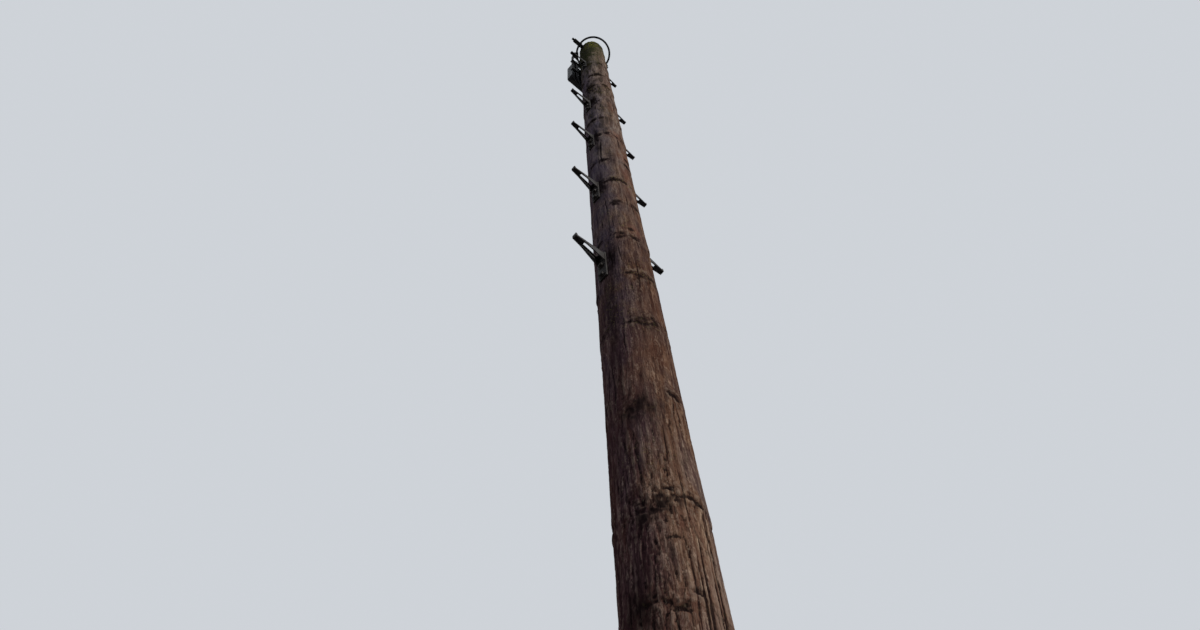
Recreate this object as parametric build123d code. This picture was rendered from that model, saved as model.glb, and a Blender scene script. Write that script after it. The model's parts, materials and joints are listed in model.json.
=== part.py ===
from build123d import *
import math
import os

os.makedirs("parts", exist_ok=True)

# Driving sizes, in millimetres
# Z is up from the ground line, X runs through the two rows of steps, +Y faces the terminal box.

# Pole
pole_height = 9040
pole_top_diameter = 170
pole_ground_diameter = 195
top_rim_round = 9

# Clearance kept between a flat or round piece and the round wood it seats on
seat_gap = 0.3

# Steps: one row on each side, half a pitch apart, and an upper pair for working at the ring
step_pitch = 800
first_left_step_height = 4513
left_steps = 4
first_right_step_height = 4890
right_steps = 4
upper_left_step_drop = 818
upper_right_step_drop = 618
step_reach = 113
step_root_width = 34
step_tip_width = 17
step_root_depth = 60
step_tip_depth = 9
step_waist_reach = 80
step_waist_depth = 13
step_waist_blend = 60
step_sheet = 3.5
step_toe_height = 12
step_toe_length = 7
step_toe_slope = 2
step_slot_root_width = 13
step_slot_tip_width = 7
step_slot_root_margin = 16
step_slot_tip_margin = 38
step_slot_round = 2
step_plate_width = 36
step_plate_thickness = 5
step_plate_rise = 20
step_plate_drop = 180
step_plate_corner = 8
step_bolt_hole = 13
step_upper_hole_drop = 84
step_lower_hole_drop = 160

# Line ring, a little off the pole's axis, and the bolt that carries it
ring_radius = 118
ring_bar = 14
ring_drop = 40
ring_shift_x = 7
ring_shift_y = -7
ring_lug_width = 40
ring_lug_thickness = 6
ring_lug_tail = 28
ring_lug_corner = 18
ring_bolt_diameter = 16
ring_bolt_drop = 110
ring_bolt_reach = 184
ring_bolt_head_width = 27
ring_bolt_head_length = 11
bolt_clearance = 0.5
spacer_diameter = 27
washer_width = 44
washer_thickness = 5
washer_corner = 3
nut_width = 27
nut_length = 48

# Terminal box on the side away from the front, hung below the top
box_width = 222
box_height = 410
box_depth = 54
box_top_drop = 470
box_corner = 12
cover_depth = 26
cover_lip = 3
cover_edge_round = 6
seam = 1.5
rail_length = 214
rail_height = 34
rail_thickness = 4
rail_corner = 4
rail_margin = 22

# Glands under the box
gland_count = 6
gland_pitch = 30
gland_row_shift = 8
gland_diameter = 20
gland_length = 26
gland_plate_thickness = 5
gland_plate_margin = 10
gland_plate_edge = 4
gland_plate_corner = 3

# Lead cables: three down the left corner and two from behind the pole, each clipped to both rails
lead_diameter = 7
lead_clearance = 0.3
lead_pitch = 9
left_leads = 3
left_lead_inset = 7
left_lead_y = 80
rear_leads = 2
rear_lead_inset = 32
rear_lead_y = 72
rear_lead_pitch = 11
lead_straight_top = 85
lead_entry = 40
lead_bow = 6
lead_arc_share = 0.45
left_loop_drop = 12
rear_loop_drop = 36
loop_corner_turn = 45
loop_sideways_share = 0.7

# Where the free stretch above the upper clip bends, as shares of its height and of its way round the pole
left_lead_bends = (0.28, 0.60)
rear_lead_bends = ((0.26, 0.14), (0.45, 0.40), (0.64, 0.70), (0.83, 0.93))

# Clips that hold the leads on the rails
clip_height = 12
clip_margin = 6
clip_corner = 3

# Hangers that hold the leads' upper ends on the ring, at an angle round it from +X
left_hanger_angle = 136
rear_hanger_angle = 99
hanger_width = 34
hanger_inside = 12
hanger_outside = 24
hanger_rise = 12
hanger_drop = 24
hanger_corner = 3
hanger_lead_offset = 16

ring_height = pole_height - ring_drop
ring_bolt_height = pole_height - ring_bolt_drop
box_floor_height = pole_height - box_top_drop - box_height
lower_rail_height = box_floor_height + rail_margin + rail_height / 2
upper_rail_height = box_floor_height + box_height - rail_margin - rail_height / 2


def pole_radius(height):
    """Radius of the tapered pole at a height above the ground line."""
    slope = (pole_ground_diameter - pole_top_diameter) / 2 / pole_height
    return pole_ground_diameter / 2 - slope * height


def make_pole():
    """The shaft: a long taper with a rounded-over flat top, bored for the ring bolt."""
    half = [
        (0, 0),
        (pole_radius(0), 0),
        (pole_radius(pole_height), pole_height),
        (0, pole_height),
    ]
    profile = make_face(Polyline(*half, close=True))
    shaft = revolve(Plane.XZ * profile, Axis.Z)
    rim = shaft.edges().filter_by(GeomType.CIRCLE).sort_by(Axis.Z)[-1]
    shaft = fillet(rim, top_rim_round)
    bore = Cylinder(ring_bolt_diameter / 2 + bolt_clearance, pole_ground_diameter, rotation=(0, 90, 0))
    return shaft - Pos(0, 0, ring_bolt_height) * bore


def make_step():
    """One pressed step: a slotted channel with gusset sides and an upturned toe, on a tall back plate.

    Its frame has X outwards from the plate's back, Y across and Z up from the tread.
    """
    # Plan taper of the arm
    plan = make_face(Polyline(
        (0, -step_root_width / 2),
        (step_reach, -step_tip_width / 2),
        (step_reach, step_tip_width / 2),
        (0, step_root_width / 2),
        close=True,
    ))
    block = extrude(plan, step_toe_height) + extrude(plan, -step_root_depth)
    # Side profile: level tread, sides that deepen like a gusset to the root, and a toe that stops the foot
    side = make_face(Polyline(
        (0, 0),
        (step_reach - step_toe_length, 0),
        (step_reach - step_toe_length + step_toe_slope, step_toe_height),
        (step_reach, step_toe_height),
        (step_reach, -step_tip_depth),
        (step_waist_reach, -step_waist_depth),
        (0, -step_root_depth),
        close=True,
    ))
    waist = side.vertices().sort_by_distance((step_waist_reach, -step_waist_depth, 0))[0]
    side = fillet(waist, step_waist_blend)
    arm = block & extrude(Plane.XZ * side, step_root_width, both=True)
    # Open underside of the channel, one sheet inside the arm all round
    inner = offset(plan, -step_sheet)
    arm -= Pos(0, 0, -step_sheet - step_root_depth) * extrude(inner, step_root_depth)
    # Long slot through the tread
    slot = make_face(Polyline(
        (step_slot_root_margin, -step_slot_root_width / 2),
        (step_reach - step_slot_tip_margin, -step_slot_tip_width / 2),
        (step_reach - step_slot_tip_margin, step_slot_tip_width / 2),
        (step_slot_root_margin, step_slot_root_width / 2),
        close=True,
    ))
    slot = fillet(slot.vertices(), step_slot_round)
    arm -= extrude(slot, step_root_depth, both=True)
    # Back plate with two bolt holes
    plate_height = step_plate_rise + step_plate_drop
    plate_face = RectangleRounded(step_plate_width, plate_height, step_plate_corner)
    hole = Circle(step_bolt_hole / 2)
    middle = (step_plate_rise - step_plate_drop) / 2
    plate_face -= Pos(0, -step_upper_hole_drop - middle) * hole
    plate_face -= Pos(0, -step_lower_hole_drop - middle) * hole
    plate = extrude(Plane.YZ * Pos(0, middle) * plate_face, step_plate_thickness)
    return plate + arm


def step_at(height, side):
    """A step on the pole: side is -1 for the left row and 1 for the right row."""
    back = pole_radius(height - step_plate_drop) + seat_gap
    turn = 0 if side > 0 else 180
    return Pos(side * back, 0, height) * Rot(0, 0, turn) * make_step()


def lug_reach(side):
    """X place of a ring lug's middle, where the hoop crosses the bolt's plane on one side."""
    return ring_shift_x + side * math.sqrt(ring_radius ** 2 - ring_shift_y ** 2)


def lug_face(side):
    """Distance from the pole's axis to the outer face of the lug on one side."""
    return side * lug_reach(side) + ring_lug_thickness / 2


def make_ring():
    """The hoop, with a lug welded under it on each side for the bolt."""
    ring = Pos(ring_shift_x, ring_shift_y, ring_height) * Torus(ring_radius, ring_bar / 2)
    lug_height = ring_height - ring_bolt_height + ring_lug_tail
    face = RectangleRounded(ring_lug_width, lug_height, ring_lug_corner)
    lug_middle = (ring_height + ring_bolt_height - ring_lug_tail) / 2
    face -= Pos(0, ring_bolt_height - lug_middle) * Circle(ring_bolt_diameter / 2 + bolt_clearance)
    lug = extrude(Plane.YZ * face, ring_lug_thickness)
    for side in (-1, 1):
        start = lug_reach(side) - ring_lug_thickness / 2
        ring += Pos(start, 0, lug_middle) * lug
    return ring


def make_ring_bolt():
    """Through bolt along X, with its hexagon head on the right and long thread on the left."""
    under_head = lug_face(1) + washer_thickness
    length = ring_bolt_reach + under_head
    shank = Pos(-ring_bolt_reach, 0, 0) * Rot(0, 90, 0) * Cylinder(
        ring_bolt_diameter / 2, length, align=(Align.CENTER, Align.CENTER, Align.MIN))
    head_face = RegularPolygon(ring_bolt_head_width / 2, 6, major_radius=False)
    head = Pos(under_head, 0, 0) * Rot(0, 90, 0) * extrude(head_face, ring_bolt_head_length)
    return Pos(0, 0, ring_bolt_height) * (shank + head)


def make_spacer(side):
    """Tube on the bolt between the wood and the ring lug, with its inner end cut round to the wood."""
    outer = Circle(spacer_diameter / 2) - Circle(ring_bolt_diameter / 2 + bolt_clearance)
    end = lug_face(side) - ring_lug_thickness
    tube = Rot(0, 90, 0) * extrude(outer, end)
    wood = pole_radius(ring_bolt_height - spacer_diameter / 2) + seat_gap
    tube -= Cylinder(wood, 2 * spacer_diameter)
    turn = 0 if side > 0 else 180
    return Pos(0, 0, ring_bolt_height) * Rot(0, 0, turn) * tube


def make_washer(side):
    """Square plate washer outside a ring lug."""
    face = RectangleRounded(washer_width, washer_width, washer_corner)
    face -= Circle(ring_bolt_diameter / 2 + bolt_clearance)
    washer = extrude(Plane.YZ * face, washer_thickness)
    turn = 0 if side > 0 else 180
    return Pos(0, 0, ring_bolt_height) * Rot(0, 0, turn) * Pos(lug_face(side), 0, 0) * washer


def make_nut():
    """Long hexagon nut on the left end of the ring bolt."""
    face = RegularPolygon(nut_width / 2, 6, major_radius=False)
    face -= Circle(ring_bolt_diameter / 2 + seat_gap)
    start = lug_face(-1) + washer_thickness
    nut = Rot(0, -90, 0) * extrude(face, nut_length)
    return Pos(-start, 0, ring_bolt_height) * nut


def rail_back():
    """Distance from the pole's axis to the back of the box rails."""
    return pole_radius(box_floor_height) + seat_gap


def box_back():
    """Distance from the pole's axis to the back of the box."""
    return rail_back() + rail_thickness


def make_rail(height):
    """Flat galvanised rail between the pole and the box."""
    face = RectangleRounded(rail_length, rail_height, rail_corner)
    return Pos(0, box_back(), height) * Rot(90, 0, 0) * extrude(face, rail_thickness)


def make_body():
    """Back half of the housing."""
    depth = box_depth - cover_depth - seam
    face = RectangleRounded(box_width, box_height, box_corner)
    return Pos(0, box_back() + depth, box_floor_height + box_height / 2) * Rot(90, 0, 0) * extrude(face, depth)


def make_cover():
    """Front lid with a rounded outer edge and a narrower tongue behind it that fills the seam."""
    face = RectangleRounded(box_width, box_height, box_corner)
    lid = extrude(face, cover_depth)
    lid = fillet(lid.faces().sort_by(Axis.Z)[-1].edges(), cover_edge_round)
    inner = RectangleRounded(box_width - 2 * cover_lip, box_height - 2 * cover_lip, box_corner - cover_lip)
    lid += extrude(inner, -seam)
    front = box_back() + box_depth - cover_depth
    return Pos(0, front, box_floor_height + box_height / 2) * Rot(-90, 0, 0) * lid


def gland_places():
    """X places of the glands along the box floor."""
    first = gland_row_shift - gland_pitch * (gland_count - 1) / 2
    return [first + gland_pitch * index for index in range(gland_count)]


def gland_line():
    """Distance from the pole's axis to the row of glands."""
    return box_back() + (box_depth - cover_depth - seam) / 2


def make_gland_plate():
    """Thin plate under the box floor that carries the glands."""
    width = box_width - 2 * box_corner - gland_plate_margin
    depth = gland_diameter + gland_plate_edge
    plate = Box(width, depth, gland_plate_thickness, align=(Align.CENTER, Align.CENTER, Align.MAX))
    plate = fillet(plate.edges().filter_by(Axis.Z), gland_plate_corner)
    for place in gland_places():
        gland = Cylinder(gland_diameter / 2, gland_length, align=(Align.CENTER, Align.CENTER, Align.MAX))
        plate += Pos(place, 0, -gland_plate_thickness) * gland
    return Pos(0, gland_line(), box_floor_height) * plate


def ring_point(angle, radius, height):
    """A point at an angle round the hoop's own centre, in degrees from +X."""
    turn = math.radians(angle)
    return Vector(ring_shift_x + radius * math.cos(turn), ring_shift_y + radius * math.sin(turn), height)


def make_tube(route):
    """Round cable along a route, with an arc at each corner as large as its two runs allow."""
    points = [Vector(point) for point in route]
    radii = []
    for before, corner, after in zip(points, points[1:], points[2:]):
        turn = (corner - before).get_angle(after - corner)
        run = min((corner - before).length, (after - corner).length)
        radii.append(lead_arc_share * run / math.tan(math.radians(turn / 2)))
    path = FilletPolyline(*points, radius=radii)
    start = Plane(origin=points[0], z_dir=points[1] - points[0])
    tube = sweep(start * Circle(lead_diameter / 2), path=path)
    section = math.pi * lead_diameter ** 2 / 4
    fullness = tube.volume / section / path.length
    print("lead", round(path.length), "mm, least radius", round(min(radii)), "volume share", round(fullness, 6))
    return tube


def gland_loop(run_x, run_y, gland_x, drop):
    """Points of a drip loop from a lead's straight run, under the box and up into a gland.

    It is a half octagon with rounded corners, its middle one drop below the gland's end.
    """
    gland_end = box_floor_height - gland_plate_thickness - gland_length
    middle = (run_x + gland_x) / 2
    half = (gland_x - run_x) / 2
    radius = math.hypot(half, (gland_line() - run_y) / 2)
    corner = math.tan(math.radians(loop_corner_turn / 2))
    centre = gland_end - drop
    turning_y = run_y + (gland_line() - run_y) * loop_sideways_share
    points = [(run_x, run_y, centre - corner * radius)]
    points.append((middle - corner * half, turning_y, centre - radius))
    points.append((middle + corner * half, gland_line(), centre - radius))
    points.append((gland_x, gland_line(), centre - corner * radius))
    points.append((gland_x, gland_line(), gland_end))
    return points


def left_lead_places():
    """X places of the left leads where the clips hold them, counted outwards from beside the box's side."""
    return [left_lead_inset - box_width / 2 - index * lead_pitch for index in range(left_leads)]


def rear_lead_places():
    """X places of the rear leads where the clips hold them."""
    return [rear_lead_inset - box_width / 2 - index * rear_lead_pitch for index in range(rear_leads)]


def make_left_lead(index):
    """A lead from the left hanger down the corner beside the box, and into a gland."""
    run_x = left_lead_places()[index]
    step = math.degrees(lead_pitch / (ring_radius + hanger_lead_offset))
    angle = left_hanger_angle + (index - (left_leads - 1) / 2) * step
    top = ring_point(angle, ring_radius + hanger_lead_offset, ring_height - hanger_drop)
    foot = Vector(run_x, left_lead_y, upper_rail_height + lead_straight_top)
    span = foot - top
    bow = Vector(-lead_bow, lead_bow, 0)
    route = [top, top - Vector(0, 0, lead_entry)]
    for down in left_lead_bends:
        route.append(top + span * down + bow)
    route.append(foot)
    route += gland_loop(run_x, left_lead_y, gland_places()[index + 1], left_loop_drop)
    return make_tube(route)


def make_rear_lead(index):
    """A lead from the rear hanger round the back of the pole, down beside the box and into a gland."""
    run_x = rear_lead_places()[index]
    step = math.degrees(lead_pitch / (ring_radius + hanger_lead_offset))
    angle = rear_hanger_angle + (index - (rear_leads - 1) / 2) * step
    top = ring_point(angle, ring_radius + hanger_lead_offset, ring_height - hanger_drop)
    foot = Vector(run_x, rear_lead_y, upper_rail_height + lead_straight_top)
    turns = (math.atan2(top.Y, top.X), math.atan2(foot.Y, foot.X))
    reaches = (math.hypot(top.X, top.Y), math.hypot(foot.X, foot.Y))
    route = [top, top - Vector(0, 0, lead_entry)]
    # The lead follows the round of the pole, steeper at both ends than in the middle
    for down, around in rear_lead_bends:
        turn = turns[0] + (turns[1] - turns[0]) * around
        reach = reaches[0] + (reaches[1] - reaches[0]) * around
        level = top.Z + (foot.Z - top.Z) * down
        route.append(Vector(reach * math.cos(turn), reach * math.sin(turn), level))
    route.append(foot)
    route += gland_loop(run_x, rear_lead_y, gland_places()[index + 1 + left_leads], rear_loop_drop)
    return make_tube(route)


def make_clip(height):
    """Block on the pole side of a rail, bored for the leads."""
    front = box_back() - rail_thickness
    left = left_lead_places()[-1] - lead_diameter / 2 - clip_margin
    right = rear_lead_places()[0] + lead_diameter / 2 + clip_margin
    near = rear_lead_y - lead_diameter / 2 - clip_margin
    middle = Pos((left + right) / 2, (near + front) / 2)
    face = middle * RectangleRounded(right - left, front - near, clip_corner)
    hole = Circle(lead_diameter / 2 + lead_clearance)
    for place in left_lead_places():
        face -= Pos(place, left_lead_y) * hole
    for place in rear_lead_places():
        face -= Pos(place, rear_lead_y) * hole
    return Pos(0, 0, height - clip_height / 2) * extrude(face, clip_height)


def make_hanger(angle):
    """Block that closes round the hoop and takes the leads' upper ends in its underside."""
    depth = hanger_inside + hanger_outside
    middle = ring_radius + (hanger_outside - hanger_inside) / 2
    block = Box(depth, hanger_width, hanger_rise + hanger_drop)
    block = fillet(block.edges().filter_by(Axis.Z), hanger_corner)
    block = Pos(middle, 0, (hanger_rise - hanger_drop) / 2) * block
    block = Pos(ring_shift_x, ring_shift_y, ring_height) * Rot(0, 0, angle) * block
    hoop = Torus(ring_radius, ring_bar / 2 + lead_clearance)
    return block - Pos(ring_shift_x, ring_shift_y, ring_height) * hoop


nodes = {"pole_shaft": make_pole()}
for index in range(left_steps):
    height = first_left_step_height + index * step_pitch
    nodes[f"step_left_{index + 1}"] = step_at(height, -1)
for index in range(right_steps):
    height = first_right_step_height + index * step_pitch
    nodes[f"step_right_{index + 1}"] = step_at(height, 1)
nodes["step_left_upper"] = step_at(pole_height - upper_left_step_drop, -1)
nodes["step_right_upper"] = step_at(pole_height - upper_right_step_drop, 1)
nodes["line_ring"] = make_ring()
nodes["ring_bolt"] = make_ring_bolt()
nodes["ring_nut"] = make_nut()
for name, side in (("left", -1), ("right", 1)):
    nodes[f"ring_spacer_{name}"] = make_spacer(side)
    nodes[f"ring_washer_{name}"] = make_washer(side)
nodes["box_rail_lower"] = make_rail(lower_rail_height)
nodes["box_rail_upper"] = make_rail(upper_rail_height)
nodes["terminal_body"] = make_body()
nodes["terminal_cover"] = make_cover()
nodes["terminal_glands"] = make_gland_plate()
nodes["lead_clip_lower"] = make_clip(lower_rail_height)
nodes["lead_clip_upper"] = make_clip(upper_rail_height)
nodes["lead_hanger_left"] = make_hanger(left_hanger_angle)
nodes["lead_hanger_rear"] = make_hanger(rear_hanger_angle)
for index in range(left_leads):
    nodes[f"lead_left_{index + 1}"] = make_left_lead(index)
for index in range(rear_leads):
    nodes[f"lead_rear_{index + 1}"] = make_rear_lead(index)

for name, solid in nodes.items():
    export_step(solid, f"parts/{name}.step")
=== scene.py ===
import bpy
import json
import math
import numpy as np
from mathutils import Matrix, Vector


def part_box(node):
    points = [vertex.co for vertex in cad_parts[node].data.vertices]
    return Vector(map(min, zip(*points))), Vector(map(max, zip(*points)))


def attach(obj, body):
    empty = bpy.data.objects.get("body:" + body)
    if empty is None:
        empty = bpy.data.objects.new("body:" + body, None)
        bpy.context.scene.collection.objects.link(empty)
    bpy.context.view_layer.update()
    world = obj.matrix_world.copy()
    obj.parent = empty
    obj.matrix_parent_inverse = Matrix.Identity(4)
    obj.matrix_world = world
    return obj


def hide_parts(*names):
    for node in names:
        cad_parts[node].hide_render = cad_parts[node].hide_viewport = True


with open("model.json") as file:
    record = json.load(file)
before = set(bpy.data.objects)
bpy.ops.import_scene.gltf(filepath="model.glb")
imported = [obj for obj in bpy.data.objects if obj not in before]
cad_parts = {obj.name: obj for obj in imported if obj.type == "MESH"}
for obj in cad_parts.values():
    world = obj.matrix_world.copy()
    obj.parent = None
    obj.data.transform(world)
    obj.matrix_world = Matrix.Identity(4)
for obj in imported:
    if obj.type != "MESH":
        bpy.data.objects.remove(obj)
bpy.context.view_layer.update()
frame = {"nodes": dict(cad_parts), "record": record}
CAD = frame["nodes"]

# Camera: it stands close to the pole's foot at eye height and looks steeply up, with a slight roll
CAMERA_DISTANCE = 1.13
CAMERA_HEIGHT = 1.6
CAMERA_BEARING = math.radians(-139.2)
VIEW_HEADING = math.radians(45.1)
VIEW_PITCH = math.radians(66.72)
VIEW_ROLL = math.radians(-4.39)
CAMERA_LENS = 30
CAMERA_REACH = 200

# Key light: bearing round the pole from +X, height above the horizon, apparent width, power and colour
KEY_BEARING = math.radians(-72)
KEY_RISE = math.radians(36)
KEY_WIDTH = math.radians(14)
KEY_POWER = 3.0
KEY_COLOR = (1.0, 0.95, 0.88)

# Surround and floor: the light that each gives, and the paler look that the camera and reflections get
SURROUND_LIGHT = (0.34, 0.36, 0.42)
SURROUND_SEEN = (0.62, 0.65, 0.69)
FLOOR_LIGHT = (0.20, 0.19, 0.18)
FLOOR_SEEN = ((0.3, (0.70, 0.71, 0.73)), (0.7, (0.74, 0.75, 0.77)))
FLOOR_RADIUS = 90
FLOOR_SIDES = 96

# Pole sizes, from the frame where it states them
_, pole_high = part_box("pole_shaft")
POLE_HEIGHT = pole_high.z
GROUND_RADIUS = pole_high.x
TOP_RADIUS = 0.085
RIM_ROUND = 0.009

# Climbing steps: thickness of the back plate, the tread's height over its lower end, and the holes' drops
# below the tread
STEP_PLATE = 0.005
STEP_PLATE_DROP = 0.180
STEP_HOLE_DROPS = (0.084, 0.160)

# Small fasteners
WASHER = 0.0025
WASHER_SIDES = 28
STEP_SCREW_REACH = 0.0095
STEP_SCREW_HEIGHT = 0.008
COVER_SCREW_REACH = 0.0055
COVER_SCREW_INSET = 0.016
COVER_SCREW_SIDES = 28
SCREW_SLOT_HALF_ANGLE = 0.16
RING_BOLT_RADIUS = 0.008
THREAD_PITCH = 0.002
THREAD_DEPTH = 0.0007
THREAD_SIDES = 24

# Half widths that the wood keeps flat behind a step's plate and behind a rail
STEP_SEAT = 0.022
RAIL_SEAT = 0.040

# Mesh of the wood: columns round the pole, and the height of each stretch's lower end with its count of rows
COLUMNS = 300
STRETCHES = (
    ("shaft_1", 0.0, 200), ("shaft_2", 2.4, 320), ("shaft_3", 3.2, 330), ("shaft_4", 4.3, 330),
    ("shaft_5", 6.3, 316),
)
RIM_ROWS = 6
CAP_RINGS = 6
CAP_WEIGHT = 0.3

# Branch whorls: height of each, in metres
WHORLS = (
    0.32, 0.74, 1.16, 1.55, 1.98, 2.40, 2.85, 3.15, 3.58, 3.96, 4.29, 4.66, 5.01, 5.31, 5.62, 6.08, 6.42,
    6.90, 7.30, 7.64, 8.05, 8.36, 8.70,
)

# Knots that the photo shows best: height, bearing in degrees and half width in metres
SHOWN_KNOTS = (
    (2.84, -130, 0.022), (2.86, -158, 0.016), (2.88, -112, 0.012), (3.12, -146, 0.034), (3.17, -126, 0.014),
    (3.51, -159, 0.016), (3.58, -92, 0.024), (3.95, -140, 0.014), (3.97, -100, 0.022), (4.29, -110, 0.024),
    (4.30, -128, 0.014), (4.64, -107, 0.020), (4.66, -135, 0.018), (5.01, -134, 0.020), (5.31, -133, 0.024),
    (5.62, -150, 0.022), (6.08, -158, 0.026), (6.09, -130, 0.020), (6.42, -168, 0.020), (6.90, -162, 0.030),
    (7.30, -158, 0.030), (7.31, -108, 0.020), (7.64, -128, 0.032), (8.05, -165, 0.026),
)

# Ledges that the photo shows: height, first and last bearing in degrees, and how bold each is from 0 to 1
SHOWN_LEDGES = (
    (2.85, -150, -118, 0.5), (3.02, -146, -116, 0.65), (3.16, -142, -72, 0.7), (3.51, -176, -128, 0.3),
    (3.59, -100, -76, 0.8), (3.96, -140, -94, 0.8), (4.29, -118, -96, 0.4), (4.64, -146, -123, 0.7),
    (4.72, -121, -103, 0.8), (5.00, -143, -125, 1.0), (5.31, -172, -80, 0.8), (5.65, -200, -150, 0.9),
    (5.72, -92, -60, 0.9), (6.07, -134, -78, 0.5), (6.08, -166, -153, 0.8), (6.43, -190, -128, 0.9),
    (6.91, -194, -148, 0.9), (6.87, -152, -130, 0.6), (7.30, -188, -150, 1.0), (7.30, -120, -84, 0.6),
    (7.66, -168, -118, 1.0), (8.10, -172, -98, 0.9), (8.42, -150, -112, 0.25), (8.72, -135, -96, 0.20),
)
# The photo's side of the pole, in degrees, and how bold the whorls' own ledges are there and elsewhere
SHOWN_SIDE = (-204, -62)
FAINT_LEDGE = 0.22
FULL_LEDGE = 1.0

# Soft dark patches, partly stains and partly painted shade round knots and beside the steps: height, bearing
# in degrees, half width, half height in metres, and strength
STAINS_AND_SHADE = (
    (2.86, -172, 0.030, 0.060, 0.60), (3.08, -157, 0.020, 0.022, 0.75), (3.110, -141, 0.026, 0.019, 1.00),
    (3.135, -130, 0.026, 0.016, 1.00), (3.50, -148, 0.036, 0.045, 0.80), (3.95, -120, 0.032, 0.040, 0.62),
    (4.10, -172, 0.018, 0.300, 0.50), (4.44, -162, 0.026, 0.150, 0.75), (5.26, -165, 0.026, 0.160, 0.75),
    (5.62, -128, 0.012, 0.200, 0.35), (5.86, -159, 0.010, 0.130, 0.65), (6.06, -163, 0.024, 0.160, 0.80),
    (6.60, -112, 0.016, 0.180, 0.35), (6.86, -163, 0.026, 0.170, 0.90), (7.05, -128, 0.020, 0.100, 0.35),
    (7.25, -163, 0.028, 0.200, 0.90), (7.85, -112, 0.014, 0.150, 0.40), (8.05, -160, 0.020, 0.100, 0.85),
    (8.30, -172, 0.024, 0.400, 0.70),
)

# Red-brown patches: height, bearing in degrees, half width and half height in metres
RED_PATCHES = (
    (2.84, -122, 0.018, 0.030), (3.08, -112, 0.022, 0.040), (4.72, -100, 0.020, 0.060),
    (5.40, -92, 0.020, 0.200), (5.74, -88, 0.036, 0.110), (6.09, -104, 0.034, 0.060),
    (6.70, -98, 0.018, 0.160), (7.31, -103, 0.026, 0.060),
)

# Drying checks: bearing in degrees, low end, high end, half width and depth in metres
CHECKS = (
    (-77, 1.9, 3.14, 0.0034, 0.009),
    (-84, 2.3, 3.02, 0.0024, 0.006),
    (-96, 2.55, 3.04, 0.0022, 0.005),
    (-106, 2.62, 2.99, 0.0018, 0.004),
    (-134, 2.66, 2.84, 0.0013, 0.003),
    (-117, 3.24, 3.42, 0.0012, 0.002),
    (-153, 5.58, 5.99, 0.0020, 0.004),
    (20, 0.4, 3.6, 0.0034, 0.012),
    (95, 3.2, 6.9, 0.0030, 0.010),
    (-35, 5.6, 8.9, 0.0028, 0.008),
    (150, 0.2, 1.7, 0.0028, 0.008),
    (-120, 0.1, 1.35, 0.0028, 0.009),
    (60, 7.2, 9.0, 0.0028, 0.009),
)
SMALL_CHECKS = 150
SMALL_CHECK_DEPTH = 0.0022

# Noise layers of the wood: amplitude in metres, cells round the pole, a cell's height and the seed
SWAY_LAYERS = ((0.0012, 3, 1.3, 9), (0.0006, 7, 0.4, 10))
FIBRE_LAYERS = ((0.0005, 60, 0.28, 3), (0.0005, 130, 0.12, 4))
CRUMB_LAYERS = ((0.0016, 44, 0.018, 11), (0.0012, 100, 0.008, 12))
UNEVEN_ACROSS_LAYERS = ((0.006, 26, 0.040, 51), (0.004, 80, 0.014, 52))
UNEVEN_UP_LAYERS = ((0.006, 24, 0.040, 53), (0.004, 80, 0.012, 54))

# Torn strips of fibre: depth in metres, strips round the pole, their length, how rare deep ones are, and seed
STRIP_LAYERS = ((0.0010, 64, 0.16, 4.0, 6), (0.0014, 118, 0.060, 3.0, 16), (0.0010, 148, 0.026, 2.0, 26))

# Relief of the wood in metres: knots, ledges, moss tufts, and the plain surface's own set back from the taper
KNOT_REACH = 0.22
KNOT_SWELL = 0.0016
KNOT_HOLLOW = 0.0026
KNOT_BROW = 0.0018
BROW_HALF_HEIGHT = 0.0035
LEDGE_RISE = 0.0007
LEDGE_FADE = 0.10
CREASE_DEPTH = 0.0018
TUFT_HEIGHT = 0.0018
SET_BACK = 0.0006
SEAT_SET_BACK = 0.0004

# How much lower than its surroundings a spot is where its painted shade is full, how deep a check is where
# its painted shade is black, and the reach of those surroundings in mesh cells
HOLLOW_SHADE_DEPTH = 0.0013
BLACK_CHECK_DEPTH = 0.002
SURROUNDINGS = 4

# Tones of the wood, the moss and the cut end, from dark to pale
BROWN_TONES = (
    (0.36, (0.025, 0.012, 0.009)), (0.45, (0.105, 0.056, 0.038)), (0.53, (0.205, 0.125, 0.083)),
    (0.63, (0.460, 0.340, 0.235)),
)
GREY_TONES = (
    (0.36, (0.028, 0.018, 0.020)), (0.46, (0.105, 0.072, 0.066)), (0.55, (0.195, 0.145, 0.118)),
    (0.65, (0.420, 0.345, 0.275)),
)
MOSS_TONES = ((0.40, (0.006, 0.009, 0.005)), (0.54, (0.022, 0.028, 0.012)), (0.68, (0.085, 0.090, 0.028)))
END_GRAIN_TONES = ((0.2, (0.060, 0.045, 0.036)), (0.8, (0.150, 0.120, 0.095)))

# Single colours laid over the wood
RED_BROWN_FIELD = (0.145, 0.078, 0.058)
RED_BROWN_PATCH = (0.150, 0.066, 0.046)
HIGH_GREY = (0.130, 0.105, 0.098)
BLEACHED = (0.260, 0.228, 0.208)
PALE_BLOTCH = (0.300, 0.260, 0.225)
WORN_EDGE = (0.370, 0.290, 0.225)
# Painted highlight where sunlight would catch the slivers' edges
SLIVER_HIGHLIGHT = (0.480, 0.370, 0.280)
MOULD = (0.020, 0.019, 0.015)
# Painted shade in hollows, checks and ledge creases
HOLLOW_SHADE = (0.014, 0.009, 0.009)
# Painted shade in the gaps between splinters
SPLINTER_GAP_SHADE = (0.020, 0.012, 0.010)
# Dark of knots and stains, partly painted shade in knot hollows and creases and round knots and steps
KNOT_STAIN_AND_SHADE = (0.015, 0.010, 0.010)
LICHEN = (0.280, 0.240, 0.090)
MOSS_FILM = (0.085, 0.080, 0.038)
FRESH_MOSS = (0.185, 0.190, 0.024)

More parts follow.
